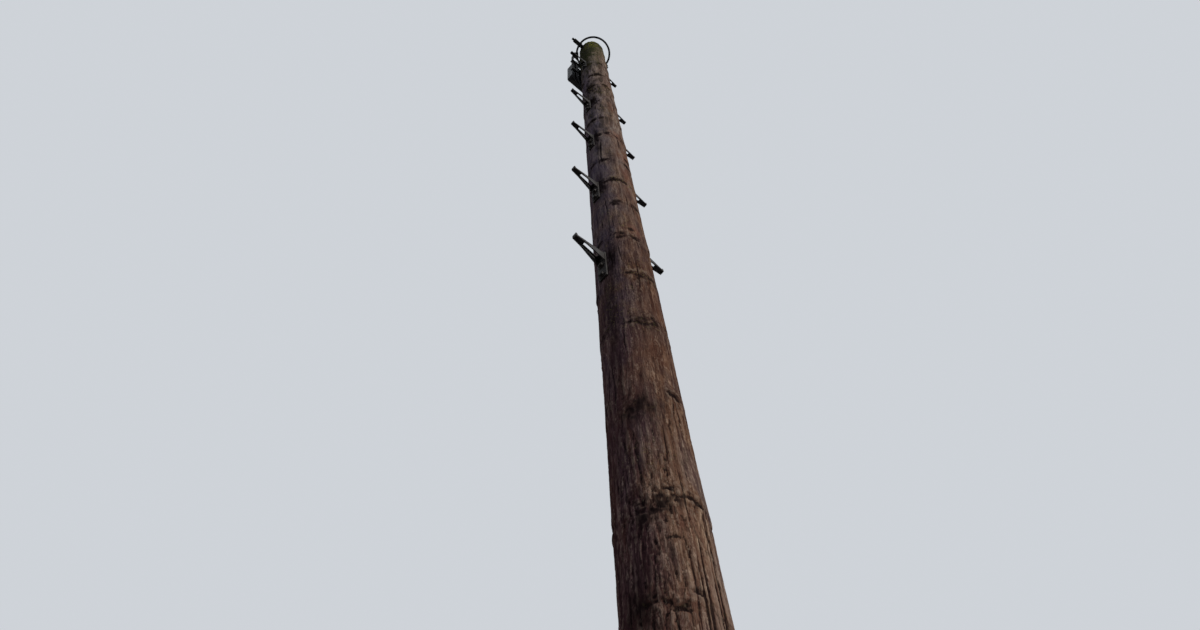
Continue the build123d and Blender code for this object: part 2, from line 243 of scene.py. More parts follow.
# Tints that multiply the wood's colour: on its red side, and on its damp side high up and low down; the damp
# ones also paint the cool cast of sky-lit shade on that side
RED_TINT = (0.60, 0.51, 0.49)
DAMP_AND_SKY_SHADE_TINT_HIGH = (0.53, 0.55, 0.86)
DAMP_AND_SKY_SHADE_TINT_LOW = (0.50, 0.36, 0.48)

# Bearings in degrees of the wood's differently weathered sides
RED_SIDE = -85
FRESH_MOSS_SIDE = -139
BLEACHED_SIDE = -152
# The damp side is also the side in shade, and its tint paints that sky-lit shade
DAMP_SHADED_SIDE = 165
MOULD_SIDE = 168
MOSSY_SIDE = 178


def ease(share):
    """Eases a share from 0 to 1 in and out."""
    return share * share * (3 - 2 * share)


def surface_noise(turn, height, around, tall, seed):
    """Smooth values from -1 to 1 over the pole: turn runs from 0 to 1 round it, height is in metres."""
    grid = np.random.default_rng(seed).uniform(-1, 1, (int(POLE_HEIGHT / tall) + 6, around))
    across = turn * around
    up = np.clip(height / tall + 2, 0, len(grid) - 1.001)
    column = np.floor(across).astype(int)
    row = np.floor(up).astype(int)
    mix_across = ease(across - column)
    mix_up = ease(up - row)
    left = column % around
    right = (column + 1) % around
    row_above = np.minimum(row + 1, len(grid) - 1)
    low = grid[row, left] * (1 - mix_across) + grid[row, right] * mix_across
    high = grid[row_above, left] * (1 - mix_across) + grid[row_above, right] * mix_across
    return low * (1 - mix_up) + high * mix_up


def layered_noise(turn, height, layers):
    """A sum of noises: each layer gives its amplitude, cells round the pole, a cell's height and its seed."""
    total = np.zeros_like(height)
    for amplitude, around, tall, seed in layers:
        total += amplitude * surface_noise(turn, height, around, tall, seed)
    return total


def arc_from(turn, radius, bearing):
    """Distance in metres round the pole from a bearing in degrees, positive anticlockwise from above."""
    away = (turn - bearing / 360 + 0.5) % 1 - 0.5
    return away * 2 * math.pi * radius


def spot(across, up, wide, tall, edge=1.0):
    """An oval spot, 1 in the middle and falling to 0 outside: a higher edge makes its rim sharper."""
    return np.exp(-((across / wide) ** 2 + (up / tall) ** 2) ** edge)


def torn_strips(turn, height, around, tall, power, seed):
    """Depth from 0 to 1 of strips of fibre that came away, each with its own torn ends."""
    random = np.random.default_rng(seed)
    starts = random.uniform(0, 1, around)
    table = random.uniform(0, 1, (int(POLE_HEIGHT / tall) + 6, around)) ** power
    wander_layers = ((0.8, around, tall * 0.45, seed + 1), (0.25, around * 3, tall * 0.12, seed + 3))
    wander = layered_noise(turn, height, wander_layers)
    column = np.floor(turn * around + wander).astype(int) % around
    ragged = surface_noise(turn, height, around * 4, tall * 0.2, seed + 2) * 0.30
    row = np.floor(height / tall + starts[column] + ragged + 2).astype(int)
    return table[np.clip(row, 0, len(table) - 1), column]


def knot_list():
    """Every knot: the ones that the photo shows, and seeded ones on the rest of each whorl."""
    random = np.random.default_rng(41)
    knots = list(SHOWN_KNOTS)
    for level in WHORLS:
        for bearing in np.arange(-72, 180, 56) + random.uniform(-20, 20):
            knots.append((level + random.uniform(-0.03, 0.03), bearing, random.uniform(0.010, 0.028)))
    return knots


def check_list():
    """Every check: the long ones, and many short seeded ones all over."""
    random = np.random.default_rng(77)
    checks = list(CHECKS)
    for _ in range(SMALL_CHECKS):
        low = random.uniform(0.1, 8.8)
        high = low + random.uniform(0.05, 0.28)
        bearing = random.uniform(-180, 180)
        half = random.uniform(0.0009, 0.0014)
        checks.append((bearing, low, high, half, SMALL_CHECK_DEPTH))
    return checks


def ledge_list():
    """Every ledge: height, first and last bearing, and boldness. Each whorl's own ones come first."""
    ledges = [(level, SHOWN_SIDE[1], SHOWN_SIDE[0] + 360, FULL_LEDGE) for level in WHORLS]
    ledges += [(level, SHOWN_SIDE[0], SHOWN_SIDE[1], FAINT_LEDGE) for level in WHORLS]
    return ledges + list(SHOWN_LEDGES)


def check_depth(turn, height, radius):
    """Depth of the drying checks: narrow grooves that wander and taper to both ends."""
    depths = np.zeros_like(turn)
    for bearing, low, high, half, depth in check_list():
        rows = slice(*np.searchsorted(height[:, 0], (low, high)))
        level = height[rows]
        taper = np.clip(1 - ((level - (low + high) / 2) / ((high - low) / 2)) ** 2, 0, 1)
        wander = 0.006 * np.sin(level * 3.1 + bearing) + 0.002 * np.sin(level * 17 + bearing)
        wander = wander + 0.0016 * surface_noise(turn[rows], level, 9, 0.04, 61)
        across = np.abs(arc_from(turn[rows], radius[rows], bearing) + wander)
        groove = np.clip(1 - across / (half * (0.5 + taper) * 1.5), 0, 1)
        depths[rows] = np.maximum(depths[rows], depth * groove * np.sqrt(taper))
    return depths


def whorl_relief(turn, height):
    """Ledges where branches grew: the wood swells just above each one, over a broken crease."""
    random = np.random.default_rng(23)
    ledge = np.zeros_like(turn)
    crease = np.zeros_like(turn)
    for index, (level, first, last, bold) in enumerate(ledge_list()):
        seed = int(random.integers(1000))
        rows = slice(*np.searchsorted(height[:, 0], (level - 0.16, level + 0.45)))
        around = turn[rows]
        flat = np.zeros_like(around)
        lift_layers = ((0.014, 9, 1, seed), (0.007, 25, 1, seed + 1), (0.0025, 90, 1, seed + 2))
        up = height[rows] - level - layered_noise(around, flat, lift_layers)
        half = (last - first) / 2
        away = ((around * 360 - first - half) + 180) % 360 - 180
        window = np.clip((half - np.abs(away)) / 8 + 0.5, 0, 1)
        # A whorl's own ledge comes and goes round the pole, and it is bolder higher up
        if index < 2 * len(WHORLS):
            window *= np.clip(0.12 * level - 0.1 + 1.1 * surface_noise(around, flat, 7, 1, seed + 3), 0, 1)
        strength = bold * window
        worn = np.clip(0.75 + 0.9 * surface_noise(around, flat, 31, 1, seed + 4), 0, 1)
        thick = 0.002 + 0.0007 * level ** 2
        swell = ease(np.clip(0.5 + 0.5 * up / thick, 0, 1))
        rise = LEDGE_RISE * level * strength * swell * np.exp(-np.clip(up, 0, 1) / LEDGE_FADE)
        ledge[rows] = np.maximum(ledge[rows], rise)
        # The crease's weight also paints shade under the ledge, in the wood's colour as well as its relief
        line = np.exp(-((up + thick * 0.6) / (thick * 0.7)) ** 2) * strength * worn
        crease[rows] = np.maximum(crease[rows], line)
    return ledge, crease


def seat_weight(turn, height, radius):
    """1 where a step plate or a rail bears on the wood, falling to 0 a little way round it."""
    weight = np.zeros_like(turn)
    for name in CAD:
        if name.startswith(("step_", "box_rail")):
            low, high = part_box(name)
            bearing = math.degrees(math.atan2(low.y + high.y, low.x + high.x))
            half = STEP_SEAT if name.startswith("step_") else RAIL_SEAT
            across = np.clip(2 - np.abs(arc_from(turn, radius, bearing)) / half, 0, 1)
            away = np.abs(height - (low.z + high.z) / 2)
            along = np.clip(1.5 - away / ((high.z - low.z) / 2 + 0.02), 0, 0.5) * 2
            weight = np.maximum(weight, across * along)
    return weight


def uneven_fields(turn, height):
    """Small seeded noises that make the edges of knots, stains with their painted shade, and patches uneven.
    """
    return {
        "across": layered_noise(turn, height, UNEVEN_ACROSS_LAYERS),
        "up": layered_noise(turn, height, UNEVEN_UP_LAYERS),
        "broken": surface_noise(turn, height, 60, 0.016, 55),
        "fine": surface_noise(turn, height, 110, 0.010, 56),
    }


def knot_marks(turn, height, radius, uneven):
    """What the knots do to the wood, as arrays over it.

    bend turns the fibres round a knot, swell raises the wood about it and recess sinks its hollow and brow,
    rough says where the wood is broken up, and the last is the weight of its dark colour: partly the knot's
    own dark wood, partly painted shade in its hollow, its brow crease and round it.
    """
    marks = {name: np.zeros_like(turn) for name in ("bend", "swell", "recess", "rough", "stain_and_shade")}
    for level, bearing, half in knot_list():
        near = np.abs(height - level) < KNOT_REACH
        across = arc_from(turn[near], radius[near], bearing) + uneven["across"][near]
        up = height[near] - level + uneven["up"][near]
        broken = uneven["broken"][near]
        spread = spot(across, up, 2.0 * half, 2.6 * half)
        marks["bend"][near] += np.sign(across) * spread * half * 0.6 * np.exp(-np.abs(across) / half)
        marks["swell"][near] += KNOT_SWELL * spread
        marks["rough"][near] = np.maximum(marks["rough"][near], spread)
        # Higher up, knots are longer along the pole and more sharply marked
        tall = 0.16 + 0.12 * level
        bold = np.clip(0.50 + 0.16 * (level - 3.2), 0.50, 1)
        hollow = spot(across, up, 0.85 * half, tall * half, 1.5) * np.clip(0.9 + 0.5 * broken, 0, 1)
        brow = up - 0.75 * half + 0.30 * across ** 2 / half
        crease = np.exp(-(brow / BROW_HALF_HEIGHT) ** 2 - (across / (1.2 * half)) ** 4)
        crease = crease * np.clip(0.45 + broken, 0, 1)
        marks["recess"][near] += KNOT_HOLLOW * hollow + KNOT_BROW * crease
        # Seen steeply from below, only the upper wall of a hollow shows. The dark colour is partly the knot's
        # own dark wood and partly painted shade on that wall, in the brow crease and in a smudge below the
        # knot
        ragged = np.clip(0.25 + 0.5 * bold + (1.7 - 1.5 * bold) * uneven["fine"][near], 0, 1)
        face = spot(across, up - 0.2 * tall * half, 0.95 * half, 1.3 * tall * half, 0.8 + 0.7 * bold)
        smudge = 0.40 * spot(across, up + 0.4 * half, 1.3 * half, (0.9 + tall) * half)
        stain_and_shade = np.clip(0.95 * (bold * ragged * face) + 0.55 * crease + bold * smudge, 0, 1)
        marks["stain_and_shade"][near] = np.maximum(marks["stain_and_shade"][near], stain_and_shade)
    return marks


def add_stains_and_shade(stain_and_shade, turn, height, radius, uneven):
    """Adds the soft dark patches, partly stains and partly painted shade, to the weight of the knots' dark
    colour.
    """
    for level, bearing, wide, tall, strength in STAINS_AND_SHADE:
        near = np.abs(height - level) < 2.5 * tall
        across = arc_from(turn[near], radius[near], bearing) + 1.5 * uneven["across"][near]
        up = height[near] - level + 3 * uneven["up"][near]
        smear = spot(across, up, wide, tall) * (1.35 + 0.6 * uneven["broken"][near])
        stain_and_shade[near] = np.maximum(stain_and_shade[near], np.clip(strength * smear, 0, 1))


def red_weight(turn, height, radius, uneven):
    """1 in the middle of the red-brown patches, falling to 0 round them."""
    red = np.zeros_like(turn)
    for level, bearing, wide, tall in RED_PATCHES:
        across = arc_from(turn, radius, bearing) + uneven["across"]
        red = np.maximum(red, spot(across, height - level + 2 * uneven["up"], wide, tall))
    return red


def torn_relief(turn, flowing, height):
    """Depth of the torn strips: they cover the low stretch, and higher up they come in patches."""
    low_down = np.clip((4.9 - height) / 1.8, 0, 1)
    share = np.clip(0.35 + 0.5 * surface_noise(turn, height, 5, 0.6, 8) + 0.6 * low_down, 0.08, 1)
    strips = np.zeros_like(height)
    for depth, around, tall, power, seed in STRIP_LAYERS:
        strips += depth * torn_strips(flowing, height, around, tall, power, seed)
    return share * strips


def blur(values, reach):
    """Box blur over the unrolled wood, done twice: it wraps round the pole and stops at the ends."""
    for _ in range(2):
        total = np.zeros_like(values)
        for shift in range(-reach, reach + 1):
            total += np.roll(values, shift, axis=1)
        values = total / (2 * reach + 1)
        padded = np.pad(values, ((reach + 1, reach), (0, 0)), mode="edge").cumsum(axis=0)
        values = (padded[2 * reach + 1:] - padded[:-2 * reach - 1]) / (2 * reach + 1)
    return values


def wood_relief(turn, height, radius):
    """How far the wood stands in from its plain taper, and the weights that its material reads."""
    uneven = uneven_fields(turn, height)
    knots = knot_marks(turn, height, radius, uneven)
    add_stains_and_shade(knots["stain_and_shade"], turn, height, radius, uneven)
    ledge, crease = whorl_relief(turn, height)
    checks = check_depth(turn, height, radius)
    flowing = turn + knots["bend"] / (2 * math.pi * radius)
    fibres = layered_noise(flowing, height, FIBRE_LAYERS)
    crumbs = np.zeros_like(height)
    for amplitude, around, tall, seed in CRUMB_LAYERS:
        crumbs += amplitude * np.abs(surface_noise(turn, height, around, tall, seed))
    tufts = TUFT_HEIGHT * np.clip(0.2 + uneven["broken"] + 0.8 * uneven["fine"], 0, 1)
    tufts = tufts * np.clip((height - 8.6) / 0.3, 0, 1)
    sunk = knots["recess"] + torn_relief(turn, flowing, height) + checks + CREASE_DEPTH * crease
    sunk = sunk + knots["rough"] * crumbs
    sway = layered_noise(turn, height, SWAY_LAYERS)
    inward = sunk - fibres - sway - knots["swell"] - ledge - tufts + SET_BACK
    seat = seat_weight(turn, height, radius)
    inward = inward * (1 - seat) + np.maximum(inward, SEAT_SET_BACK) * seat
    # Painted shade goes where the surface lies below its surroundings, in the checks and in the creases under
    # the ledges, and worn edges are paler
    plain = inward + ledge
    lower = np.clip((plain - blur(plain, SURROUNDINGS)) / HOLLOW_SHADE_DEPTH, -1, 1)
    deep = np.clip(checks / BLACK_CHECK_DEPTH, 0, 1) + crease
    weights = {
        "dark": np.clip(0.5 + 0.5 * lower + 0.6 * deep, 0, 1),
        "knot": knots["stain_and_shade"],
        "red": red_weight(turn, height, radius, uneven),
    }
    return inward, weights


def plain_radius(height):
    """The CAD taper, with the rounded rim at the top."""
    radius = GROUND_RADIUS + (TOP_RADIUS - GROUND_RADIUS) * height / POLE_HEIGHT
    over = np.clip(height - (POLE_HEIGHT - RIM_ROUND), 0, RIM_ROUND)
    return radius - RIM_ROUND + np.sqrt(RIM_ROUND ** 2 - over ** 2)


def new_piece(name, points, faces, smooth=False):
    """A mesh object in the scene."""
    mesh = bpy.data.meshes.new(name)
    mesh.from_pydata(points, [], faces)
    mesh.update()
    mesh.polygons.foreach_set("use_smooth", [smooth] * len(mesh.polygons))
    piece = bpy.data.objects.new(name, mesh)
    bpy.context.scene.collection.objects.link(piece)
    return piece


def set_material(piece, material):
    """Gives every slot of a piece the one material."""
    if not piece.data.materials:
        piece.data.materials.append(material)
    for index in range(len(piece.data.materials)):
        piece.data.materials[index] = material


def store_weight(piece, name, values):
    """One number for each vertex, which the wood material reads."""
    layer = piece.data.attributes.new(name, "FLOAT", "POINT")
    layer.data.foreach_set("value", np.ascontiguousarray(values, dtype=np.float32))


def shaft_levels():
    """Heights of all the rows, which crowd together over the rim, and the row where each stretch starts."""
    lows = [low for _, low, _ in STRETCHES] + [POLE_HEIGHT - RIM_ROUND]
    levels = [0.0]
    starts = [0]
    for index, (_, low, rows) in enumerate(STRETCHES):
        levels += list(np.linspace(low, lows[index + 1], rows + 1)[1:])
        starts.append(starts[-1] + rows)
    rim_turns = np.linspace(0, math.pi / 2, RIM_ROWS + 1)[1:]
    levels += list(POLE_HEIGHT - RIM_ROUND + RIM_ROUND * np.sin(rim_turns))
    starts[-1] += RIM_ROWS
    return np.array(levels), starts


def close_end(rings, weights, at_foot):
    """Adds shrinking rings that close the foot or the top, down to a small flat middle."""
    edge = rings[0] if at_foot else rings[-1]
    for step in range(1, CAP_RINGS + 1):
        share = 1 - step / (CAP_RINGS + 1)
        place = 0 if at_foot else len(rings)
        rings.insert(place, edge * (share, share, 1))
        for values in weights.values():
            values.insert(place, np.full(COLUMNS, CAP_WEIGHT))


def skin_faces(rows):
    """Four-sided faces of a skin of so many rows, which closes on itself round the pole."""
    start = np.arange(rows)[:, None] * COLUMNS
    here = np.arange(COLUMNS)[None, :]
    after = (here + 1) % COLUMNS
    faces = np.stack((start + here, start + after, start + COLUMNS + after, start + COLUMNS + here), axis=-1)
    return faces.reshape(-1, 4).tolist()


def make_shaft(material):
    """The weathered surface of the whole shaft, as one closed skin cut into stretches."""
    levels, starts = shaft_levels()
    height, turn = np.meshgrid(levels, np.arange(COLUMNS) / COLUMNS, indexing="ij")
    radius = plain_radius(height)
    inward, weights = wood_relief(turn, height, radius)
    distance = radius - inward * np.clip(height / 0.01, 0, 1)
    angle = turn * 2 * math.pi
    points = np.stack((distance * np.cos(angle), distance * np.sin(angle), height), axis=-1)
    pieces = []
    for index, (name, _, _) in enumerate(STRETCHES):
        part = slice(starts[index], starts[index + 1] + 1)
        at_foot = index == 0
        at_top = index == len(STRETCHES) - 1
        rings = list(points[part])
        own_weights = {key: list(values[part]) for key, values in weights.items()}
        if at_foot:
            close_end(rings, own_weights, True)
        if at_top:
            close_end(rings, own_weights, False)
        rows = len(rings) - 1
        faces = skin_faces(rows)
        if at_foot:
            faces.append(list(range(COLUMNS))[::-1])
        if at_top:
            faces.append(list(range(rows * COLUMNS, (rows + 1) * COLUMNS)))
        piece = new_piece(name, np.concatenate(rings).tolist(), faces, smooth=True)
        for key, values in own_weights.items():
            store_weight(piece, key, np.concatenate(values))
        set_material(piece, material)
        pieces.append(piece)
    return pieces


def turned(profile, sides, centre, outward, start):
    """Points and faces of a solid turned round an axis, where start is the count of the points before it.

    The profile is pairs of radius and distance along the axis.
    """
    ahead = Vector(outward).normalized()
    across = ahead.orthogonal().normalized()
    upward = ahead.cross(across)
    points = []
    for reach, along in profile:
        for index in range(sides):
            angle = 2 * math.pi * index / sides
            place = across * (reach * math.cos(angle)) + upward * (reach * math.sin(angle))
            points.append(tuple(Vector(centre) + ahead * along + place))
    faces = [tuple(start + index for index in range(sides))[::-1]]
    for row in range(len(profile) - 1):
        low = start + row * sides
        for index in range(sides):
            after = (index + 1) % sides
            faces.append((low + index, low + after, low + sides + after, low + sides + index))
    top = start + (len(profile) - 1) * sides
    faces.append(tuple(top + index for index in range(sides)))
    return points, faces


def make_screws(name, places, outward):
    """Hexagon screw heads on round washers, joined in one piece."""
    washer_reach = STEP_SCREW_REACH * 1.45
    washer = ((washer_reach, 0), (washer_reach, WASHER * 0.8), (washer_reach * 0.96, WASHER))
    head = ((STEP_SCREW_REACH, 0), (STEP_SCREW_REACH, STEP_SCREW_HEIGHT * 0.8),
            (STEP_SCREW_REACH * 0.84, STEP_SCREW_HEIGHT))
    points = []
    faces = []
    for place in places:
        for profile, sides, lift in ((washer, WASHER_SIDES, -0.0004), (head, 6, WASHER - 0.0006)):
            base = Vector(place) + Vector(outward) * lift
            more, more_faces = turned(profile, sides, base, outward, len(points))
            points += more
            faces += more_faces
    return new_piece(name, points, faces)


def make_cover_screws(name, places):
    """Round screw heads with a straight slot, facing +Y: a low disc with two raised halves on it."""
    points = []
    faces = []
    rim = COVER_SCREW_SIDES // 2
    sweep = math.pi - 2 * SCREW_SLOT_HALF_ANGLE
    disc = ((COVER_SCREW_REACH, -0.0003), (COVER_SCREW_REACH, 0.0010))
    for place in places:
        more, more_faces = turned(disc, COVER_SCREW_SIDES, place, (0, 1, 0), len(points))
        points += more
        faces += more_faces
        for side in (0, math.pi):
            first = len(points)
            for lift, shrink in ((0.0006, 1.0), (0.0018, 1.0), (0.0023, 0.86)):
                for index in range(rim):
                    angle = side + SCREW_SLOT_HALF_ANGLE + sweep * index / (rim - 1)
                    across = math.cos(angle) * COVER_SCREW_REACH * shrink
                    along = math.sin(angle) * COVER_SCREW_REACH * shrink
                    points.append((place[0] + across, place[1] + lift, place[2] + along))
            for row in range(2):
                low = first + row * rim
                for index in range(rim):
                    after = (index + 1) % rim
                    faces.append((low + index, low + rim + index, low + rim + after, low + after))
            faces.append(tuple(first + index for index in range(rim)))
            faces.append(tuple(first + 2 * rim + index for index in range(rim))[::-1])
    return new_piece(name, points, faces)


def make_thread(name, start, end, level):
    """A helical ridge along X round the ring bolt's bare end, with its axis at the given height."""
    count = int(((end - start) / THREAD_PITCH - 1) * THREAD_SIDES)
    points = []
    for index in range(count + 1):
        angle = 2 * math.pi * index / THREAD_SIDES
        middle = start + THREAD_PITCH * (index / THREAD_SIDES + 0.5)
        for shift, depth in ((-0.45, -0.0003), (0, THREAD_DEPTH), (0.45, -0.0003)):
            reach = RING_BOLT_RADIUS + depth
            along = middle + shift * THREAD_PITCH
            points.append((along, reach * math.cos(angle), level + reach * math.sin(angle)))
    faces = [(0, 1, 2), (3 * count + 2, 3 * count + 1, 3 * count)]
    for index in range(count):
        low = 3 * index
        for first, second in ((0, 1), (1, 2), (2, 0)):
            faces.append((low + first, low + 3 + first, low + 3 + second, low + second))
    return new_piece(name, points, faces, smooth=True)


class Nodes:
    """Short calls for building a procedural material."""

    def __init__(self, name, roughness=0.8, metallic=0.0, specular=0.3):
        self.material = bpy.data.materials.new(name)
        self.material.use_nodes = True
        self.tree = self.material.node_tree
        self.surface = self.tree.nodes["Principled BSDF"]
        self.surface.inputs["Roughness"].default_value = roughness
        self.surface.inputs["Metallic"].default_value = metallic
        self.surface.inputs["Specular IOR Level"].default_value = specular
        self.place = self.add("ShaderNodeTexCoord", "Object", {})

    def link(self, value, socket):
        if isinstance(value, bpy.types.NodeSocket):
            self.tree.links.new(value, socket)
        else:
            socket.default_value = value

    def add(self, kind, output, inputs, **settings):
        """Adds a node with its settings and inputs, and returns one of its outputs."""
        node = self.tree.nodes.new(kind)
        for key, value in settings.items():
            setattr(node, key, value)
        for key, value in inputs.items():
            self.link(value, node.inputs[key])
        return node.outputs[output]

    def noise(self, scale, detail=4.0, rough=0.55, stretch=(1, 1, 1), distortion=0.0):
        place = self.add("ShaderNodeMapping", "Vector", {"Vector": self.place, "Scale": stretch})
        inputs = {"Vector": place, "Scale": scale, "Detail": detail, "Roughness": rough}
        inputs["Distortion"] = distortion
        return self.add("ShaderNodeTexNoise", "Fac", inputs)

    def cells(self, scale, stretch, shift=0.0):
        """Two values over elongated cells: a random tone for each, and the distance to the cell's edge."""
        warp = self.add("ShaderNodeTexNoise", "Color", {"Vector": self.place, "Scale": 40, "Detail": 2})
        inputs = {0: warp, 1: (0.006, 0.006, 0.020), 2: self.place}
        bent = self.add("ShaderNodeVectorMath", "Vector", inputs, operation="MULTIPLY_ADD")
        inputs = {"Vector": bent, "Scale": stretch, "Location": (shift, shift, shift)}
        place = self.add("ShaderNodeMapping", "Vector", inputs)
        inputs = {"Vector": place, "Scale": scale}
        tone = self.add("ShaderNodeTexVoronoi", "Color", inputs, feature="F1")
        edge = self.add("ShaderNodeTexVoronoi", "Distance", inputs, feature="DISTANCE_TO_EDGE")
        return self.add("ShaderNodeSeparateColor", "Red", {"Color": tone}), edge

    def ramp(self, value, stops):
        node = self.tree.nodes.new("ShaderNodeValToRGB")
        elements = node.color_ramp.elements
        while len(elements) > 1:
            elements.remove(elements[-1])
        elements[0].position = stops[0][0]
        elements[0].color = (*stops[0][1], 1)
        for position, color in stops[1:]:
            elements.new(position).color = (*color, 1)
        self.link(value, node.inputs["Fac"])
        return node.outputs["Color"]

    def fit(self, value, low, high, to_low=0.0, to_high=1.0):
        """Fits a value's range from low to high onto another, and holds it there outside."""
        inputs = {"Value": value, "From Min": low, "From Max": high, "To Min": to_low, "To Max": to_high}
        return self.add("ShaderNodeMapRange", "Result", inputs)

    def calc(self, operation, first, second=0.0):
        return self.add("ShaderNodeMath", "Value", {0: first, 1: second}, operation=operation)

    def plus(self, first, second):
        return self.calc("ADD", first, second)

    def times(self, first, second):
        return self.calc("MULTIPLY", first, second)

    def centred(self, value, strength):
        """Shifts a value that runs from 0 to 1 so that it lies either side of 0, and scales it."""
        return self.times(self.calc("SUBTRACT", value, 0.5), strength)

    def mix(self, factor, first, second, blend="MIX"):
        inputs = {"Factor": factor}
        for key, color in (("A", first), ("B", second)):
            inputs[key] = color if isinstance(color, bpy.types.NodeSocket) else (*color, 1)
        return self.add("ShaderNodeMix", "Result", inputs, data_type="RGBA", blend_type=blend)

    def weight(self, name):
        return self.add("ShaderNodeAttribute", "Fac", {}, attribute_name=name)

    def axis(self, name):
        return self.add("ShaderNodeSeparateXYZ", name, {"Vector": self.place})

    def facing_up(self):
        normal = self.add("ShaderNodeNewGeometry", "True Normal", {})
        return self.add("ShaderNodeSeparateXYZ", "Z", {"Vector": normal})

    def towards(self, bearing):
        """How far a point lies out along a bearing from the pole's axis, in metres."""
        along_x = self.times(self.axis("X"), math.cos(math.radians(bearing)))
        along_y = self.times(self.axis("Y"), math.sin(math.radians(bearing)))
        return self.plus(along_x, along_y)

    def bump(self, height, strength, distance):
        inputs = {"Height": height, "Strength": strength, "Distance": distance}
        self.link(self.add("ShaderNodeBump", "Normal", inputs), self.surface.inputs["Normal"])

    def finish(self, color, roughness=None):
        self.link(color, self.surface.inputs["Base Color"])
        if roughness is not None:
            self.link(roughness, self.surface.inputs["Roughness"])
        return self.material


def wood_noises(wood):
    """The wood's noises, all drawn out along the pole, and its splinters as long cells."""
    noises = {
        "fields": wood.noise(4.2, 3, 0.6, (1, 1, 0.5)),
        "patches": wood.noise(13, 4, 0.6, (1, 1, 0.30), 0.4),
        "streaks": wood.noise(34, 3, 0.6, (1, 1, 0.07)),
        "mottle": wood.noise(60, 3, 0.6, (1, 1, 0.13), 0.3),
        "flakes": wood.noise(90, 5, 0.65, (1, 1, 0.14), 0.5),
        "grain": wood.noise(190, 4, 0.7, (1, 1, 0.45), 0.3),
        "fibres": wood.noise(420, 3, 0.6, (1, 1, 0.05)),
    }
    noises["splinter"], noises["splinter_edge"] = wood.cells(105, (1, 1, 0.13))
    noises["sliver"], _ = wood.cells(210, (1, 1, 0.10), 3.7)
    return noises


def wood_tone(wood, noises, low_down):
    """Where the bare wood lies between its dark and its pale tones: splinters count for more low down."""
    tone = wood.plus(wood.times(noises["flakes"], 0.34), wood.times(noises["fibres"], 0.24))
    tone = wood.plus(tone, wood.times(noises["grain"], 0.16))
    tone = wood.plus(tone, wood.times(noises["streaks"], 0.26))
    tone = wood.plus(tone, wood.centred(noises["splinter"], wood.fit(low_down, 0, 1, 0.03, 0.08)))
    tone = wood.plus(tone, wood.centred(noises["sliver"], wood.fit(low_down, 0, 1, 0.02, 0.06)))
    return wood.plus(tone, wood.centred(noises["mottle"], wood.fit(low_down, 0, 1, 0.46, 0.05)))


def weather_sides(wood, color, height, low_down, patches):
    """Greyer wood high up, bleached on one side, redder on another, and damp and dark on a third, where a
    cool tint also paints its sky-lit shade.
    """
    color = wood.mix(wood.fit(height, 3.4, 4.8, 0.0, 0.20), color, HIGH_GREY)
    bleached = wood.fit(wood.towards(BLEACHED_SIDE), 0.020, 0.085, 0.4, 2.0)
    bleached = wood.times(wood.fit(height, 4.6, 6.0, 0.0, 0.22), bleached)
    color = wood.mix(bleached, color, BLEACHED)
    redder = wood.times(wood.fit(wood.towards(RED_SIDE), 0.030, 0.080), wood.fit(height, 3.05, 3.6))
    redder = wood.times(redder, wood.fit(height, 5.4, 7.4, 1.0, 0.65))
    color = wood.mix(redder, color, RED_TINT, "MULTIPLY")
    # Damp, darker wood on the side away from the key, with painted sky-lit shade in its cool tint
    damp = wood.plus(wood.towards(DAMP_SHADED_SIDE), wood.centred(patches, 0.12))
    damp_and_sky_shade_tint = wood.mix(low_down, DAMP_AND_SKY_SHADE_TINT_HIGH, DAMP_AND_SKY_SHADE_TINT_LOW)
    return wood.mix(wood.fit(damp, 0.020, 0.085, 0.0, 0.95), color, damp_and_sky_shade_tint, "MULTIPLY")


def blotch_high_wood(wood, color, height):
    """Mould in blotches on the upper wood, most of all on its damp side, with pale blotches between."""
    blotch = wood.noise(42, 4, 0.65, (1, 1, 0.12), 0.4)
    damp_share = wood.fit(wood.towards(MOULD_SIDE), -0.045, 0.045, 0.12, 1.0)
    mould = wood.times(wood.fit(blotch, 0.50, 0.58), damp_share)
    mould = wood.times(mould, wood.fit(height, 5.2, 6.8, 0.0, 0.85))
    color = wood.mix(mould, color, MOULD)
    pale = wood.times(wood.fit(blotch, 0.48, 0.38), wood.fit(height, 4.4, 6.4, 0.0, 0.45))
    return wood.mix(pale, color, PALE_BLOTCH)


def mark_relief(wood, color, noises, low_down):
    """Worn pale edges, painted shade in the hollows, checks and ledge creases and in the gaps between the
    splinters, and painted highlights on bright slivers.
    """
    dark = wood.weight("dark")
    color = wood.mix(wood.fit(dark, 0.46, 0.10, 0.0, 0.32), color, WORN_EDGE)
    # Painted shade where the wood lies below its surroundings, in checks and under ledges
    color = wood.mix(wood.fit(dark, 0.60, 0.95, 0.0, 0.90), color, HOLLOW_SHADE)
    # Painted shade in the gaps between the splinters, strongest low down
    edges = wood.fit(noises["splinter_edge"], 0.150, 0.030)
    lines = wood.times(edges, wood.fit(noises["flakes"], 0.49, 0.56))
    color = wood.mix(wood.times(lines, wood.fit(low_down, 0, 1, 0.15, 0.60)), color, SPLINTER_GAP_SHADE)
    # Painted highlights on the slivers' edges, strongest low down
    bright = wood.times(wood.fit(noises["sliver"], 0.76, 0.90), wood.fit(noises["grain"], 0.48, 0.60))
    return wood.mix(wood.times(bright, wood.fit(low_down, 0, 1, 0.10, 0.32)), color, SLIVER_HIGHLIGHT)


